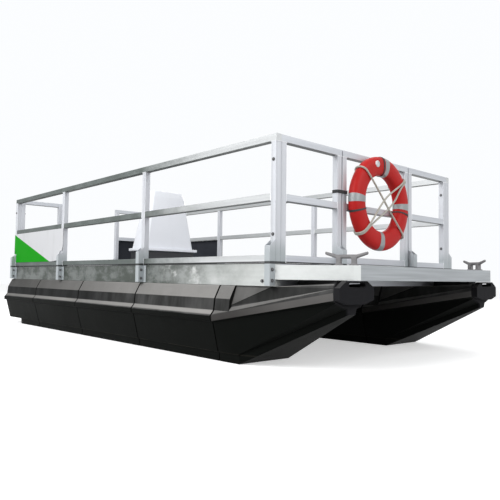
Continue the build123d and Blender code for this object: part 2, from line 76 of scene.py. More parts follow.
# Lifebuoy on the gate
RING = Vector((FRONT + 0.0503, -0.045, 1.197))
RING_MID, RING_LIMB, RING_DEPTH, RING_FULLNESS = 0.295, 0.075, 0.050, 2.5
TAPE_ANGLES, TAPE_WIDTH, TAPE_THICKNESS = (177.5, 0.0, 82.5, -95.0), 9.5, 0.0014
TIE_ANGLES, TIE_WIDTH, TIE_THICKNESS = (-165.5, -10.5, 90.5), 3.2, 0.0035
ROPE_RADIUS, ROPE_TURNS = 0.0078, 26

# Deck ribs
PLANKS, PLANK_RIBS, PLATFORM_RIBS = 22, 8, 18
RIB_WIDTH, RIB_HEIGHT, RIB_MIDDLE, RIB_EASE = 0.011, 0.0022, 0.0008, 0.0008

MERGE = 0.00002  # points closer than this are one


# Finishes

class Tone:
    """A shader socket, so that sums and products of sockets read as plain maths."""

    def __init__(self, shading, socket):
        self.shading, self.socket = shading, socket

    def maths(self, operation, first, second):
        return self.shading.node("Math", {"operation": operation}, {0: first, 1: second})

    def __add__(self, other):
        return self.maths("ADD", self, other)

    def __radd__(self, other):
        return self.maths("ADD", other, self)

    def __sub__(self, other):
        return self.maths("SUBTRACT", self, other)

    def __rsub__(self, other):
        return self.maths("SUBTRACT", other, self)

    def __mul__(self, other):
        return self.maths("MULTIPLY", self, other)

    def __rmul__(self, other):
        return self.maths("MULTIPLY", other, self)

    def __abs__(self):
        return self.maths("ABSOLUTE", self, 0.0)


class Shading:
    """A node tree, and the ways in which nodes are added to it."""

    def __init__(self, tree):
        self.tree = tree

    def node(self, kind, settings=None, sockets=None, out=0):
        """Add a node: its settings first, then values or links for its sockets."""
        made = self.tree.nodes.new("ShaderNode" + kind)
        for setting, value in (settings or {}).items():
            setattr(made, setting, value)
        for key, value in (sockets or {}).items():
            self.join(self.find(made.inputs, key), value)
        return Tone(self, self.find(made.outputs, out))

    def find(self, sockets, key):
        """A socket by its number, its identifier or its name."""
        if isinstance(key, int):
            return sockets[key]
        return next((s for s in sockets if s.identifier == key), None) or sockets[key]

    def join(self, socket, value):
        """Link another socket to this one, or set its value."""
        if isinstance(value, Tone):
            self.tree.links.new(value.socket, socket)
        elif socket.type == "RGBA":
            socket.default_value = (*value, 1.0)
        else:
            socket.default_value = value

    def split(self, vector):
        """A vector as three numbers."""
        parts = self.node("SeparateXYZ", None, {"Vector": vector}).socket.node
        return [Tone(self, socket) for socket in parts.outputs]

    def step(self, value, low, high):
        """0 at low, 1 at high and smooth between them."""
        return self.node("MapRange", {"interpolation_type": "SMOOTHSTEP"}, {
            "Value": value, "From Min": low, "From Max": high})

    def blend(self, share, first, second):
        return self.node("Mix", {"data_type": "RGBA"}, {
            "Factor_Float": share, "A_Color": first, "B_Color": second}, out="Result_Color")

    def seen(self):
        """1 where the camera looks, straight or by way of metal and glass, and 0 for light on the boat."""
        path = self.node("LightPath").socket.node.outputs
        camera, metal, glass = (
            Tone(self, path[f"Is {ray} Ray"]) for ray in ("Camera", "Glossy", "Transmission"))
        return self.step(camera + metal + glass, 0.2, 0.8)


class Finish(Shading):
    """A material, with the surface shader that its nodes feed."""

    def __init__(self, name, **fixed):
        self.material = bpy.data.materials.new(name)
        self.material.use_nodes = True
        super().__init__(self.material.node_tree)
        self.shader = self.tree.nodes["Principled BSDF"]
        for socket, value in fixed.items():
            self.feed(socket.replace("_", " "), value)
        self.place = self.node("TexCoord", out="Object")

    def feed(self, socket, value):
        self.join(self.shader.inputs[socket], value)

    def axes(self):
        """The place on the boat as three numbers: forward, to port and up."""
        return self.split(self.place)

    def facing(self):
        """The way the surface faces, as three numbers."""
        return self.split(self.node("NewGeometry", out="Normal"))

    def noise(self, scale, stretch=(1, 1, 1), detail=3.0, rough=0.55):
        stretched = self.node("Mapping", None, {"Vector": self.place, "Scale": stretch})
        return self.node("TexNoise", None, {
            "Vector": stretched, "Scale": scale, "Detail": detail, "Roughness": rough}, out="Fac")

    def relief(self, height, depth):
        """Bump the surface by a height from 0 to 1, depth metres at most."""
        self.feed("Normal", self.node("Bump", None, {"Strength": 1.0, "Distance": depth, "Height": height}))


def float_plastic():
    """Black moulded plastic: dusty grey with a painted sheen on what faces up, a film on the sides and a rub
    rail that shows wear at the bow.
    """
    f = Finish("float_plastic", Specular_IOR_Level=0.02)
    black, nose_black, dust_and_sheen_grey = (0.0044, 0.0051, 0.0045), (0.019, 0.019, 0.021), (0.330, 0.322, 0.310)
    film_aft, film_fore = (0.026, 0.0265, 0.027), (0.088, 0.088, 0.087)
    rub_aft, rub_fore = (0.065, 0.062, 0.060), (0.130, 0.125, 0.121)
    chine_brown = (0.030, 0.028, 0.023)
    rub_foot, rub_edge, rub_lip, shoulder = (0.283, 0.289), (0.338, 0.330), (0.333, 0.345), (0.42, 0.38)

    fore, _, above = f.axes()
    up = f.facing()[2]
    patches = f.noise(2.6, detail=5.0)
    speckle = f.noise(60.0, detail=4.0, rough=0.7)
    runs = f.noise(6.0, stretch=(1, 1, 0.35), detail=5.0)

    # Where the bow module and its rising rub rail are, and the dark lines at the seams
    past_seam = f.step(fore, BOW_SEAM - 0.01, BOW_SEAM + 0.01)
    bow = past_seam * f.step(fore, NOSE, NOSE - 0.01)
    level = above - (fore - BOW_SEAM) * RUB_RISE * bow
    low = f.step(level, *shoulder)
    rub_face = bow * f.step(up, -0.20, -0.05) * f.step(level, *rub_foot) * f.step(level, *rub_edge)
    seam = 1.0
    for module in MODULES[:-1]:
        seam = seam * f.step(abs(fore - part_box(f"starboard_float_{module}")[1].x), 0.005, 0.013)

    # Dusty grey with a painted sheen on what faces up: more towards the bow, less on the bow module, and
    # some on the rub rail aft
    bow_module_cut = past_seam * (0.30 + 0.26 * low + 0.60 * (1.0 - low) * f.step(fore, 2.1, 2.45))
    fore_amount = (0.24 + 0.76 * f.step(fore, -2.5, 1.7)) * (1.0 - bow_module_cut)
    rub_slope = 0.30 * low * f.step(fore, 0.0, -1.2)
    dust_and_sheen = seam * f.step(up, 0.16, 0.58) * f.step(level, *rub_lip) * (fore_amount + rub_slope) * (
        0.58 + 0.56 * patches + 0.18 * speckle)

    # Sides: the film in runs, the nose, the line along the chine and the face of the rub rail
    side_film = f.step(up, -0.05, 0.10) * (0.30 + 0.70 * f.step(runs, 0.30, 0.75))
    film = f.blend(f.step(fore, -0.6, 0.8), film_aft, film_fore)
    body = f.blend(seam * side_film, black, film)
    nosed = f.blend(f.step(fore, NOSE - 0.02, NOSE), body, nose_black)
    chine = f.step(abs(above - CHINE), 0.006, 0.002) * f.step(abs(up), 0.6, 0.4) * f.step(runs, 0.30, 0.60)
    lined = f.blend(0.6 * chine, nosed, chine_brown)
    rub_tone = f.blend(f.step(fore, BOW_SEAM + 0.1, NOSE - 0.2), rub_aft, rub_fore)
    banded = f.blend(rub_face * (0.6 + 0.6 * patches), lined, rub_tone)

    f.feed("Base Color", f.blend(dust_and_sheen, banded, dust_and_sheen_grey))
    f.feed("Roughness", 0.44 + 0.14 * patches + 0.18 * dust_and_sheen)
    f.relief(0.75 * f.noise(7.0, detail=2.0) + 0.12 * f.noise(420.0, detail=2.0), 0.003)
    return f


def mill_metal(name, along, tone, dulled=0.0, dull=None, turn=(1.6, 0.2), ends=None, streak=0.10,
               blots=0.0, shine=0.40, joint=0.92, foot=0.0):
    """Aluminium with drawing marks along one axis and painted shade on its under side.

    Towards the stern, between the two stations of turn, it takes a painted dark reflection, by the share
    dulled, in the two tones of dull. Ends is the tone of the faces that look to the sides, foot the share of
    a painted grey reflection near the deck, blots that of pale patches near the bow, and joint that of the
    painted shade in the crease under the bottom rails.
    """
    f = Finish(name)
    pale_patch_tone, foot_reflection_grey = (0.62, 0.63, 0.62), (0.36, 0.40, 0.41)
    underside_shade_dark, crease_shade_black = (0.050, 0.058, 0.052), (0.022, 0.024, 0.024)
    drawn = f.noise(55.0, stretch=tuple(0.02 if axis == along else 1.0 for axis in "xyz"), detail=4.0)
    clouds = f.noise(5.0, stretch=(1, 1, 1.5), detail=8.0, rough=0.66)
    fore, port, above = f.axes()
    _, across, up = f.facing()
    # Where the painted dark reflection falls: towards the stern, mottled, and less on the port side
    aft = f.step(fore + 0.9 * clouds - 0.45, *turn) * (1.0 - 0.75 * f.step(port, -0.2, 0.2))
    # Painted shade: faces that look down are darkened and made less metallic
    grime_or_underside_shade = f.step(up, -0.55, -0.85)
    bare = f.blend(f.step(drawn, 0.32, 0.70), tuple(c * (1 - streak) for c in tone), tone)
    if ends:
        bare = f.blend(f.step(abs(across), 0.3, 0.6), bare, ends)
    coloured = bare
    # Painted dark reflection of the surroundings towards the stern
    if dulled:
        coloured = f.blend(dulled * aft, bare, f.blend(f.step(clouds, 0.40, 0.62), *dull))
    # Pale patches near the bow
    if blots:
        pale_patch = f.step(f.noise(8.5, stretch=(0.7, 1, 1), detail=6.0, rough=0.6), 0.50, 0.68)
        near_bow = f.step(fore, 0.75, 1.05) * f.step(fore, 1.80, 1.30)
        coloured = f.blend(blots * pale_patch * near_bow, coloured, pale_patch_tone)
    # Painted reflection: a grey on the posts near the deck
    if foot:
        coloured = f.blend(foot * f.step(above, 0.90, 0.76), coloured, foot_reflection_grey)
    # Painted shade on the faces that look down
    coloured = f.blend(0.94 * grime_or_underside_shade, coloured, underside_shade_dark)
    # Painted shade in the crease where the bottom rails sit on the beams
    if joint:
        coloured = f.blend(joint * f.step(abs(above - RAIL_JOINT), 0.0105, 0.0070), coloured, crease_shade_black)
    f.feed("Base Color", coloured)
    f.feed("Metallic", shine - (shine - 0.06) * grime_or_underside_shade)
    f.feed("Roughness", 0.34 + 0.20 * drawn + 0.14 * aft)
    f.relief(0.6 * drawn + 0.4 * f.noise(38.0), 0.0005)
    return f


def stand_gelcoat():
    """White gelcoat, a little uneven, with faint stains that run down."""
    f = Finish("stand_gelcoat", Coat_Weight=0.25, Coat_Roughness=0.25)
    white, stained = (0.89, 0.91, 0.955), (0.72, 0.73, 0.75)
    stains = f.step(f.noise(11.0, stretch=(1, 1, 0.12), detail=5.0), 0.50, 0.85)
    f.feed("Base Color", f.blend(0.22 * stains, white, stained))
    f.feed("Roughness", 0.36 + 0.16 * f.noise(5.0))
    f.relief(f.noise(60.0, detail=2.0), 0.0006)
    return f


def sign_sheet():
    """White sheet on the outside, with a green lower corner on the boat's sides; dark on the inside."""
    f = Finish("sign_sheet", Specular_IOR_Level=0.02)
    white, green, grey = (0.66, 0.665, 0.685), (0.008, 0.31, 0.006), (0.42, 0.43, 0.42)
    back_dark, back_light = (0.022, 0.024, 0.030), (0.046, 0.049, 0.058)
    green_height, green_length, green_top = 0.350, 1.100, (1.1135, 1.1105)
    fore, port, above = f.axes()
    ahead, across, _ = f.facing()
    outward = across * f.step(port, -0.01, 0.01) - across * f.step(port, 0.01, -0.01)
    aft_face = f.step(ahead, -0.4, -0.6)
    outside = f.step(outward, 0.3, 0.5) + aft_face
    slant = (fore - STERN) * (green_height / green_length) + above
    corner = f.step(slant, *green_top) * (1.0 - aft_face)
    printed = f.blend(corner, white, green)
    grime_or_underside_shade = f.step(f.noise(7.0, stretch=(1, 1, 0.3), detail=5.0), 0.48, 0.80)
    front = f.blend(0.35 * grime_or_underside_shade * (1.0 - corner), printed, grey)
    back = f.blend(f.noise(5.0), back_dark, back_light)
    f.feed("Base Color", f.blend(outside, back, front))
    f.feed("Roughness", 0.42 + 0.2 * grime_or_underside_shade)
    f.relief(f.noise(3.0), 0.002)
    return f


def plain(name, dark, light, rough, scale, depth=0.0006, **fixed):
    """Two close tones in patches, with a fine grain."""
    f = Finish(name, **fixed)
    patches = f.noise(scale, detail=4.0)
    f.feed("Base Color", f.blend(patches, dark, light))
    f.feed("Roughness", rough - 0.08 + 0.16 * patches)
    f.relief(f.noise(scale * 9.0), depth)
    return f


plastic = float_plastic()
# The side rails and the beam take a painted dark reflection towards the stern
rail_along = mill_metal("rail_metal_along", "x", tone=(0.61, 0.625, 0.63), dulled=0.97,
                        dull=((0.082, 0.099, 0.092), (0.114, 0.134, 0.128)), turn=(1.75, 0.25))
rail_across = mill_metal("rail_metal_across", "y", tone=(0.60, 0.62, 0.655), shine=0.55)
rail_upright = mill_metal("rail_metal_upright", "z", tone=(0.62, 0.635, 0.67), foot=0.75)
beam_metal = mill_metal("beam_metal", "x", tone=(0.58, 0.60, 0.585), dulled=0.96,
                        dull=((0.036, 0.046, 0.037), (0.150, 0.163, 0.157)), turn=(2.35, 0.55),
                        streak=0.06, blots=0.9)
cheek_metal = mill_metal("cheek_metal", "x", tone=(0.62, 0.64, 0.63), streak=0.05)
# The fascia's bow-facing face is darker than the side-facing cheeks and ends, as painted shade
fascia_metal = mill_metal("fascia_metal", "y", tone=(0.44, 0.465, 0.485), ends=(0.62, 0.64, 0.63),
                          streak=0.24)
shaded_metal = mill_metal("shaded_metal", "x", tone=(0.085, 0.090, 0.090))
deck_metal = mill_metal("deck_metal", "y", tone=(0.50, 0.51, 0.53), joint=0.0)
stand_white = stand_gelcoat()
stand_dark = plain("stand_plinth_dark", dark=(0.018, 0.019, 0.022), light=(0.034, 0.035, 0.040),
                   rough=0.6, scale=6.0)
sheet = sign_sheet()
weld_metal = plain("weld_bead", dark=(0.66, 0.67, 0.69), light=(0.84, 0.85, 0.87),
                   rough=0.36, scale=90.0, Metallic=0.4)
# Bolt steel darkened, partly as painted shade round the heads
bolt_metal = plain("bolt_steel", dark=(0.09, 0.09, 0.09), light=(0.17, 0.17, 0.175),
                   rough=0.42, scale=120.0, Metallic=0.6)
tape_silver = plain("buoy_tape", dark=(0.27, 0.285, 0.29), light=(0.35, 0.365, 0.37),
                    rough=0.36, scale=60.0, Metallic=0.25)
tie_black = plain("buoy_tie", dark=(0.010, 0.010, 0.011), light=(0.024, 0.024, 0.026),
                  rough=0.6, scale=80.0)
plug_white = plain("buoy_plug", dark=(0.66, 0.68, 0.70), light=(0.78, 0.80, 0.82),
                   rough=0.4, scale=50.0)
rope_cream = plain("lashing_rope", dark=(0.40, 0.385, 0.33), light=(0.60, 0.585, 0.52),
                   rough=0.75, scale=140.0, depth=0.0012)
cleat_metal = plain("cleat_casting", dark=(0.150, 0.147, 0.150), light=(0.225, 0.220, 0.223),
                    rough=0.55, scale=30.0, Metallic=0.25)
hinge_metal = plain("hinge_steel", dark=(0.34, 0.34, 0.35), light=(0.48, 0.48, 0.49),
                    rough=0.38, scale=24.0, Metallic=0.85)
# Black rubber of the latch, also used for the dark strips that stand in for shade under the bow platform
latch_rubber = plain("latch_rubber", dark=(0.012, 0.012, 0.013), light=(0.028, 0.028, 0.030),
                     rough=0.7, scale=40.0)
buoy_red = plain("buoy_red", dark=(0.44, 0.012, 0.011), light=(0.56, 0.022, 0.020),
                 rough=0.46, scale=9.0, Specular_IOR_Level=0.16)
motor_wood = plain("motor_board", dark=(0.030, 0.030, 0.034), light=(0.055, 0.055, 0.060),
                   rough=0.6, scale=14.0)

# By the node's name, without its side
FINISHES = {
    "rails": rail_along, "side_beam": beam_metal, "end_beams": rail_across, "inner_beams": shaded_metal,
    "tunnel_bearers": shaded_metal, "deck_planks": deck_metal, "bow_fascia": fascia_metal,
    "bow_cheeks": cheek_metal, "bow_platform_plate": deck_metal, "bow_platform_bearers": shaded_metal,
    "rail_brackets": rail_upright, "bow_rails": rail_across, "stern_rails": rail_across,
    "side_board": sheet, "stern_boards": sheet, "gate_stiles": rail_upright, "gate_rails": rail_across,
    "gate_hinge_pins": hinge_metal, "gate_hinge_eyes": hinge_metal, "gate_latch": latch_rubber,
    "lifebuoy": buoy_red, "cleat": cleat_metal, "stand_plinth": stand_dark, "stand_ledge": stand_white,
    "stand_shell": stand_white, "motor_board": motor_wood, "motor_cheeks": rail_along,
}


def finish_of(name):
    kind = name.replace("starboard_", "").replace("port_", "")
    if kind.startswith("float_"):
        return plastic
    return rail_upright if kind.endswith("rail_posts") else FINISHES[kind]


for name, node in nodes.items():
    node.data.materials.clear()
    node.data.materials.append(finish_of(name).material)


# Modelling by hand

def select_only(*pieces):
    """Select these pieces, the first of them active."""
    bpy.ops.object.select_all(action="DESELECT")
    for piece in pieces:
        piece.select_set(True)
    bpy.context.view_layer.objects.active = pieces[0]


def placed(name, data):
    """A new object in the scene."""
    piece = bpy.data.objects.new(name, data)
    scene.collection.objects.link(piece)
    return piece


def start(primitive, scale=(1, 1, 1), **settings):
    """A primitive at its size and place, to shape from there."""
    bpy.ops.object.select_all(action="DESELECT")
    primitive(**settings)
    piece = bpy.context.object
    piece.scale = scale
    apply_place(piece)
    return piece


def apply_place(piece):
    select_only(piece)
    bpy.ops.object.transform_apply(location=True, rotation=True, scale=True)


def edit(piece, kind, picked="DESELECT"):
    """Open a piece in edit mode on its vertices, edges or faces."""
    select_only(piece)
    bpy.ops.object.mode_set(mode="EDIT")
    bpy.ops.mesh.select_mode(type=kind)
    bpy.ops.mesh.select_all(action=picked)


def close():
    bpy.ops.object.mode_set(mode="OBJECT")


def pick_faces(piece, test):
    """Leave the piece open with the faces selected whose centre and normal pass the test."""
    edit(piece, "FACE")
    close()
    for face in piece.data.polygons:
        face.select = test(face.center, face.normal)
    bpy.ops.object.mode_set(mode="EDIT")


def ease_edges(piece, width, segments=2, turn=25, test=None):
    """Round the edges that turn by more than an angle and pass the test."""
    edit(piece, "EDGE")
    bpy.ops.mesh.edges_select_sharp(sharpness=radians(turn))
    close()
    points = piece.data.vertices
    for edge in piece.data.edges:
        first, last = (points[end].co for end in edge.vertices)
        edge.select = edge.select and (test is None or test(first, last))
    bpy.ops.object.mode_set(mode="EDIT")
    bpy.ops.mesh.bevel(offset=width, segments=segments, affect="EDGES", clamp_overlap=True)
    close()


def modify(piece, kind, **settings):
    """Give a piece a modifier and apply it."""
    select_only(piece)
    modifier = piece.modifiers.new(kind.lower(), kind)
    for setting, value in settings.items():
        setattr(modifier, setting, value)
    bpy.ops.object.modifier_apply(modifier=modifier.name)


def repeat_aft_to_fore(piece, count, pitch):
    modify(piece, "ARRAY", count=count, use_relative_offset=False, use_constant_offset=True,
           constant_offset_displace=(pitch, 0, 0))


def copy_of(node):
    """A copy of a solid, with its triangles merged into flat faces."""
    piece = placed(node + "_copy", nodes[node].data.copy())
    select_only(piece)
    bpy.ops.mesh.customdata_custom_splitnormals_clear()
    edit(piece, "VERT", "SELECT")
    bpy.ops.mesh.remove_doubles(threshold=MERGE)
    bpy.ops.mesh.dissolve_limited(angle_limit=radians(0.6))
    close()
    return piece


def joined(pieces):
    select_only(*pieces)
    bpy.ops.object.join()
    return pieces[0]


def copies_at(master, places):
    """Copies of a small piece, its own Z turned to each axis, joined into one mesh."""
    made = []
    for point, axis in places:
        copy = placed(master.name, master.data.copy())
        turn = Vector((0, 0, 1)).rotation_difference(Vector(axis))
        copy.matrix_world = Matrix.Translation(point) @ turn.to_matrix().to_4x4()
        made.append(copy)
    return joined(made)


def settle(piece, name, finish, body, slot, *replaced, smooth=35):
    """Apply a finished piece's place, name it, give it its finish and let it ride on its body."""
    apply_place(piece)
    bpy.ops.object.shade_smooth_by_angle(angle=radians(smooth))
    piece.name = piece.data.name = name
    piece.data.materials.clear()
    piece.data.materials.append(finish.material)
    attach(piece, body)
    if replaced:
        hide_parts(*replaced)


def drop(piece):
    bpy.data.objects.remove(piece)


# Floats: the solids with their long edges rounded as a mould leaves them

MOULD_EASE, LONG_EDGE = 0.006, 0.055
for side in SIDES:
    for module in MODULES:
        node = f"{side}_float_{module}"
        piece = copy_of(node)
        ease_edges(piece, MOULD_EASE, turn=14, test=lambda a, b: abs(a.x - b.x) > LONG_EDGE)
        settle(piece, node + "_moulding", plastic, "hull", "float_plastic", node, smooth=28)
        modify(piece, "WEIGHTED_NORMAL", keep_sharp=True)


# Posts with open feet: the tube ends are inset by the wall and sunk

def open_feet(node, name):
    piece = copy_of(node)
    wall, sink = 0.004, 0.085
    foot_top, foot_under = 1.0, 0.60
    for faces, way in ((lambda c, n: 0.6 < n.z < 0.95 and c.z < foot_top, -sink),
                       (lambda c, n: n.z < -0.9 and c.z < foot_under, sink)):
        pick_faces(piece, faces)
        bpy.ops.mesh.inset(thickness=wall, use_individual=True)
        bpy.ops.mesh.extrude_region_move(TRANSFORM_OT_translate={"value": (0, 0, way)})
        close()
    settle(piece, name, rail_upright, "hull", "frame_metal", node, smooth=25)


for panel in ("starboard", "port", "bow", "stern"):
    open_feet(f"{panel}_rail_posts", f"{panel}_posts_open")


# Weld beads round the butted tube ends, each a ring of four sides

def welds():
    bead = start(bpy.ops.mesh.primitive_torus_add, major_radius=HALF_TUBE * 2 ** 0.5, minor_radius=0.0032,
                 major_segments=4, minor_segments=6, rotation=(0, 0, pi / 4))
    forward, to_port, upward = (1, 0, 0), (0, 1, 0), (0, 0, 1)
    rail_levels, gate_levels = (MID_RAIL, BOTTOM_RAIL), (MID_RAIL, GATE_RAIL)
    hull, gate = [], []
    for side, sign in SIDES.items():
        posts, passage = POSTS[side], PASSAGE_POST_Y[side]
        for aft, fore in zip(posts, posts[1:]):
            for x in (aft + HALF_TUBE, fore - HALF_TUBE):
                hull += [((x, sign * RAIL_Y, z), forward) for z in rail_levels]
        for y in (CORNER_Y - HALF_TUBE, GATE_POST_Y + HALF_TUBE):
            hull += [((BOW_X, sign * y, z), to_port) for z in rail_levels]
        for y in (sign * (CORNER_Y - HALF_TUBE), passage + sign * HALF_TUBE):
            hull += [((STERN_X, y, z), to_port) for z in rail_levels]
        hull += [((x, sign * RAIL_Y, POST_TOP), upward) for x in posts]
        hull += [((BOW_X, sign * y, POST_TOP), upward) for y in (CORNER_Y, GATE_POST_Y)]
        hull += [((STERN_X, y, POST_TOP), upward) for y in (sign * CORNER_Y, passage)]
        gate += [((BOW_X, sign * (STILE_Y - HALF_TUBE), z), to_port) for z in gate_levels]
        gate.append(((BOW_X, sign * STILE_Y, POST_TOP), upward))
    settle(copies_at(bead, hull), "rail_welds", weld_metal, "hull", "frame_metal")
    settle(copies_at(bead, gate), "gate_welds", weld_metal, "gate", "frame_metal")
    drop(bead)


welds()


# Bolts: a six-sided head with an eased top on a round washer

def eased_disc(sides, radius, low, high, ease):
    """A disc between two heights, with the rim of its top eased."""
    disc = start(bpy.ops.mesh.primitive_cylinder_add, vertices=sides, radius=radius, depth=high - low,
                 location=(0, 0, (low + high) / 2))
    ease_edges(disc, ease, segments=1, test=lambda a, b: min(a.z, b.z) > (low + high) / 2)
    return disc


def frame_bolts():
    head = eased_disc(6, 0.0098, 0.00205, 0.00955, ease=0.0012)
    washer = eased_disc(20, 0.0125, -0.0001, 0.0021, ease=0.0006)
    bolt = joined([head, washer])
    foot_out, foot_levels = SIDE + 0.026, (0.588, 0.660)
    cheek_place, cheek_level = FRONT - 0.122, 0.584
    corner_levels, passage_levels = (1.395, 0.895), (0.592, 0.668)
    bracket = 0.005
    places = []
    for side, sign in SIDES.items():
        for x in POSTS[side]:
            face = x + HALF_TUBE + (0.0 if x == BOW_X else bracket)
            places += [((face, sign * foot_out, z), (1, 0, 0)) for z in foot_levels]
        places.append(((cheek_place, sign * SIDE, cheek_level), (0, sign, 0)))
        for x in (BOW_X, STERN_X):
            places += [((x, sign * SIDE, z), (0, sign, 0)) for z in corner_levels]
            places += [((x, sign * (CORNER_Y - HALF_TUBE), z), (0, -sign, 0)) for z in corner_levels]
        places += [((STERN - TUBE, PASSAGE_POST_Y[side], z), (-1, 0, 0)) for z in passage_levels]
    settle(copies_at(bolt, places), "frame_bolts", bolt_metal, "hull", "frame_metal", smooth=20)
    drop(bolt)


frame_bolts()


# Lifebuoy: a full ring with taped bands, three ties, a plug and a crossed lashing, all on the gate

def ring_angle(point):
    return degrees(atan2(point.z - RING.z, point.y - RING.y))


def full_ring():
    """A ring whose limb is fuller than an ellipse."""
    ring = start(bpy.ops.mesh.primitive_torus_add, scale=(1, 1, RING_DEPTH / RING_LIMB),
                 major_radius=RING_MID, minor_radius=RING_LIMB, major_segments=144, minor_segments=28,
                 location=RING, rotation=(0, pi / 2, 0))
    for point in ring.data.vertices:
        flat = Vector((0, point.co.y - RING.y, point.co.z - RING.z))
        out, deep = (flat.length - RING_MID) / RING_LIMB, (point.co.x - RING.x) / RING_DEPTH
        full = (abs(out) ** RING_FULLNESS + abs(deep) ** RING_FULLNESS) ** (-1 / RING_FULLNESS)
        point.co = RING + flat.normalized() * (RING_MID + out * full * RING_LIMB)
        point.co.x = RING.x + deep * full * RING_DEPTH
    return ring


def band(ring, middle, width, thickness):
    """A strip that lies round the limb, cut from a copy of the ring and given its thickness."""
    strip = placed("strip", ring.data.copy())
    pick_faces(strip, lambda c, n: abs((ring_angle(c) - middle + 180) % 360 - 180) > width / 2)
    bpy.ops.mesh.delete(type="FACE")
    close()
    modify(strip, "SOLIDIFY", thickness=thickness, offset=1.0, use_even_offset=True)
    return strip


def buoy_ring():
    ring = full_ring()
    tapes = [band(ring, middle, TAPE_WIDTH, TAPE_THICKNESS) for middle in TAPE_ANGLES]
    settle(joined(tapes), "buoy_tapes", tape_silver, "gate", "buoy_shell")
    ties = [band(ring, middle, TIE_WIDTH, TIE_THICKNESS) for middle in TIE_ANGLES]
    settle(joined(ties), "buoy_ties", tie_black, "gate", "buoy_shell")
    settle(ring, "buoy_ring", buoy_red, "gate", "buoy_shell", "lifebuoy", smooth=60)


def buoy_plug():
    """A pressed-in plug: a round disc with an eased rim and a shallow dish in its face."""
    seat = RING + Vector((RING_DEPTH - 0.0015, -0.098, 0.298))
    rim, dish_inset, dish_depth = 0.0035, 0.007, 0.0015
    plug = start(bpy.ops.mesh.primitive_cylinder_add, vertices=28, radius=0.026, depth=0.012,
                 location=seat, rotation=(0, pi / 2, 0))
    ease_edges(plug, rim, segments=3, test=lambda a, b: min(a.x, b.x) > RING.x + RING_DEPTH)
    pick_faces(plug, lambda c, n: n.x > 0.95)
    bpy.ops.mesh.inset(thickness=dish_inset)
    bpy.ops.mesh.extrude_region_move(TRANSFORM_OT_translate={"value": (-dish_depth, 0, 0)})
    close()
    settle(plug, "buoy_plug", plug_white, "gate", "buoy_shell")


def lobed_profile():
    """The rope's section: a ring that bulges at each strand."""
    bpy.ops.object.select_all(action="DESELECT")
    bpy.ops.curve.primitive_nurbs_circle_add(radius=ROPE_RADIUS)
    profile = bpy.context.object
    profile.data.resolution_u = 3
    for number, point in enumerate(profile.data.splines[0].points):
        lobe = 1.12 if number % 2 else 0.80
        point.co = (point.co.x * lobe, point.co.y * lobe, 0, point.co.w)
    return profile


def lashing(name, points):
    """Rope along a smooth route: a lobed profile that turns as it runs."""
    profile = lobed_profile()
    route = bpy.data.curves.new(name, "CURVE")
    route.dimensions = "3D"
    route.bevel_mode, route.bevel_object = "OBJECT", profile
    route.use_fill_caps = True
    spline = route.splines.new("NURBS")
    spline.points.add(len(points) - 1)
    for number, (point, (y, z, ahead)) in enumerate(zip(spline.points, points)):
        point.co = (FRONT + ahead, RING.y + y, RING.z + z, 1.0)
        point.tilt = 2 * pi * ROPE_TURNS * number / len(points)
    spline.order_u = 3
    spline.use_endpoint_u = True
    spline.resolution_u = 30
    select_only(placed(name, route))
    bpy.ops.object.convert(target="MESH")
    rope = bpy.context.object
    drop(profile)
    edit(rope, "VERT", "SELECT")
    bpy.ops.mesh.remove_doubles(threshold=MERGE)
    bpy.ops.mesh.normals_make_consistent(inside=False)
    close()
    settle(rope, name, rope_cream, "gate", "buoy_shell", smooth=60)


def over_limb(angle):
    """Port, up and ahead of the deck's front, from behind the limb to its front at an angle of the ring."""
    away = ((0.285, -0.0065), (0.379, -0.003), (0.377, 0.104), (0.262, 0.1085))
    return [(out * cos(radians(angle)), out * sin(radians(angle)), ahead) for out, ahead in away]


def knots():
    """Tied ends behind the limb: two turns of rope that cross."""
    made = []
    for angle in (137, 36.5, 222, -43.5):
        port, up, ahead = over_limb(angle)[0]
        for lean in (35, -40):
            made.append(start(
                bpy.ops.mesh.primitive_torus_add, major_radius=0.0105, minor_radius=0.0062,
                major_segments=24, minor_segments=10, rotation=(radians(angle), radians(90 + lean), 0),
                location=(FRONT + ahead - 0.002, RING.y + port, RING.z + up)))
    settle(joined(made), "buoy_lashing_knots", rope_cream, "gate", "buoy_shell", smooth=60)


buoy_ring()
buoy_plug()
lashing("buoy_lashing_down", over_limb(137) + [(-0.050, 0.050, 0.105), (0.055, -0.055, 0.105)]
        + over_limb(-43.5)[::-1])
lashing("buoy_lashing_up", over_limb(38) + [(-0.015, 0.045, 0.113)] + over_limb(221)[::-1])
lashing("buoy_lashing_second", over_limb(35) + [(0.100, -0.008, 0.108)] + over_limb(223)[::-1])
knots()


# Cleats as rounded castings, and the stand and its ledge with rounded edges

CLEAT_VOXEL = 0.0028
for side in SIDES:
    piece = copy_of(f"{side}_cleat")
    modify(piece, "REMESH", mode="VOXEL", voxel_size=CLEAT_VOXEL)
    edit(piece, "VERT", "SELECT")
    bpy.ops.transform.shrink_fatten(value=CLEAT_VOXEL / 2)
    close()
    modify(piece, "SMOOTH", factor=0.5, iterations=14)
    settle(piece, f"{side}_cleat_casting", cleat_metal, "hull", "cleat_metal", f"{side}_cleat", smooth=50)
for node, width, segments in (("stand_shell", 0.012, 4), ("stand_ledge", 0.006, 2)):
    piece = copy_of(node)
    ease_edges(piece, width, segments=segments, turn=12)
    settle(piece, node + "_moulding", stand_white, "hull", "stand_white", node, smooth=40)


# Dark strips that fill the gap between the bow floats and the platform, wider in front: they stand in for
# the shade there

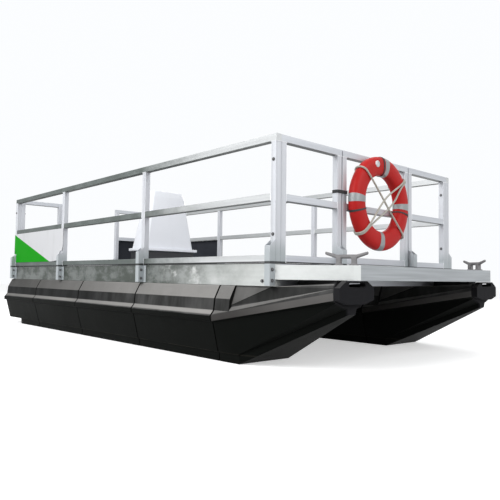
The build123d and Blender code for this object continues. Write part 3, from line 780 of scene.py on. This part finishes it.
def shade_filler_strip(side, sign):
    length, width, height, flare = 0.340, 0.090, 0.099, 1.35
    middle = Vector((FRONT + 0.180, sign * FLOAT_Y, 0.600))
    strip = start(bpy.ops.mesh.primitive_cube_add, scale=(length, width, height), size=1.0, location=middle)
    pick_faces(strip, lambda c, n: n.x > 0.9)
    bpy.ops.transform.resize(value=(1, flare, 1), center_override=middle + Vector((length / 2, 0, 0)))
    close()
    ease_edges(strip, 0.008, segments=3)
    settle(strip, f"{side}_shade_filler_strip", latch_rubber, "hull", "float_plastic")


for side, sign in SIDES.items():
    shade_filler_strip(side, sign)


# Starboard board: a thin sheet, a little wavy, with its lower fore corner curled off the rail

def curled_sheet():
    low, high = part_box("starboard_side_board")
    length, height = high.x - low.x, high.z - low.z
    off_rail, thickness = 0.0012, 0.0024
    notch, notch_top = TUBE + 0.005, 0.860
    wave_depth, curl_out, curl_up = 0.0016, 0.030, 0.020
    curl_from, curl_top = 0.80, 0.55
    board = start(bpy.ops.mesh.primitive_grid_add, scale=(length, height, 1),
                  x_subdivisions=72, y_subdivisions=20, size=1.0, rotation=(pi / 2, 0, 0),
                  location=((low.x + high.x) / 2, -SIDE - off_rail, (low.z + high.z) / 2))
    pick_faces(board, lambda c, n: c.z < notch_top and (c.x < low.x + notch or c.x > high.x - notch))
    bpy.ops.mesh.delete(type="FACE")
    close()
    for point in board.data.vertices:
        place = point.co
        along, above = (place.x - low.x) / length, (place.z - low.z) / height
        wave = wave_depth * (1 + sin(9.0 * along + 2.0 * above)) * (1 - above)
        curl = max(0.0, along - curl_from) / (1 - curl_from) * max(0.0, curl_top - above) / curl_top
        place.y -= wave + curl_out * curl ** 1.6
        place.z += curl_up * curl ** 1.4
    modify(board, "SOLIDIFY", thickness=thickness, offset=0.0)
    settle(board, "starboard_sign_sheet", sheet, "hull", "board_sheet", "starboard_side_board", smooth=50)


curled_sheet()


# Deck ribs: one rib, repeated over a plank and then over all the planks, and over the bow platform

def ribs(aft, fore, half_width, level, count):
    pitch = (fore - aft) / count
    rib = start(bpy.ops.mesh.primitive_cube_add, scale=(RIB_WIDTH, 2 * half_width, RIB_HEIGHT), size=1.0,
                location=(aft + pitch / 2, 0, level + RIB_MIDDLE))
    ease_edges(rib, RIB_EASE, segments=1, test=lambda a, b: min(a.z, b.z) > level)
    repeat_aft_to_fore(rib, count, pitch)
    return rib


def deck_ribs():
    beam, groove, clear = 0.050, 0.008, 0.004
    plank = (DECK_LENGTH - 2 * beam) / PLANKS
    aft = STERN + beam
    rib = ribs(aft + groove, aft + plank - groove, SIDE - beam - clear, DECK_TOP, PLANK_RIBS)
    repeat_aft_to_fore(rib, PLANKS, plank)
    settle(rib, "deck_ribs", deck_metal, "hull", "deck_metal")


def platform_ribs():
    """Ribs that end at the slanted cheeks."""
    aft, fore, half_width, cheek = FRONT + 0.012, FRONT + 0.452, 1.100, 1.098
    rib = ribs(aft, fore, half_width, PLATFORM_TOP, PLATFORM_RIBS)
    for sign in SIDES.values():
        outward = Vector((1, sign * 2, 0)).normalized()
        edit(rib, "FACE", "SELECT")
        bpy.ops.mesh.bisect(plane_co=(FRONT, sign * cheek, PLATFORM_TOP), plane_no=outward,
                            use_fill=True, clear_outer=True)
        close()
    settle(rib, "platform_ribs", deck_metal, "hull", "deck_metal")


deck_ribs()
platform_ribs()


# Stage, light and camera

def studio_floor():
    """A pale floor to the camera, and a grey one to the light that it throws back at the boat."""
    floor = start(bpy.ops.mesh.primitive_plane_add, size=60.0, location=(0, 0, -0.001))
    floor.name = "studio_floor"
    f = Finish("studio_floor", Roughness=0.9)
    seen = f.seen()
    pale = f.blend(f.noise(0.4), (0.86, 0.86, 0.86), (0.89, 0.89, 0.89))
    f.feed("Base Color", f.blend(seen, (0.30, 0.30, 0.30), pale))
    f.feed("Emission Color", f.blend(seen, (0.0, 0.0, 0.0), (0.48, 0.48, 0.48)))
    f.feed("Emission Strength", 1.0)
    floor.data.materials.append(f.material)


def studio_light():
    """A white world that lights the boat at less than it shows, and three soft lamps."""
    scene.world = bpy.data.worlds.new("studio")
    scene.world.use_nodes = True
    world = Shading(scene.world.node_tree)
    back = world.tree.nodes["Background"].inputs
    light = 0.46
    world.join(back["Color"], (0.97, 0.985, 1.0))
    world.join(back["Strength"], light + (1.0 - light) * world.seen())
    for name, place, aim, size, power in (
            ("starboard_key", (0.5, -9.0, 6.0), (0.0, 0.0, 0.8), 7.0, 900.0),
            ("bow_fill", (9.0, 1.0, 5.0), (0.5, 0.0, 0.8), 6.0, 300.0),
            ("stern_fill", (-7.5, 6.5, 6.0), (-0.5, 0.0, 0.8), 7.0, 420.0)):
        lamp = bpy.data.lights.new(name, "AREA")
        lamp.size, lamp.energy = size, power
        stand = placed(name, lamp)
        stand.location = place
        stand.rotation_euler = (Vector(aim) - Vector(place)).to_track_quat("-Z", "Y").to_euler()


def photo_camera():
    """The camera that was fitted to the photograph's straight edges."""
    focal_pixels, image_pixels, sensor = 552.85, 500.0, 36.0
    right, above = (0.67491, 0.73778, 0.01312), (0.02773, -0.04312, 0.99868)
    behind, place = (0.73738, -0.67366, -0.04956), (4.732, -3.7155, 0.6064)
    lens = bpy.data.cameras.new("photo_camera")
    lens.sensor_width, lens.sensor_fit = sensor, "HORIZONTAL"
    lens.lens = focal_pixels / image_pixels * sensor
    lens.clip_end = 200.0
    scene.camera = placed("photo_camera", lens)
    scene.camera.matrix_world = Matrix((*zip(right, above, behind, place), (0, 0, 0, 1)))


studio_floor()
studio_light()
photo_camera()
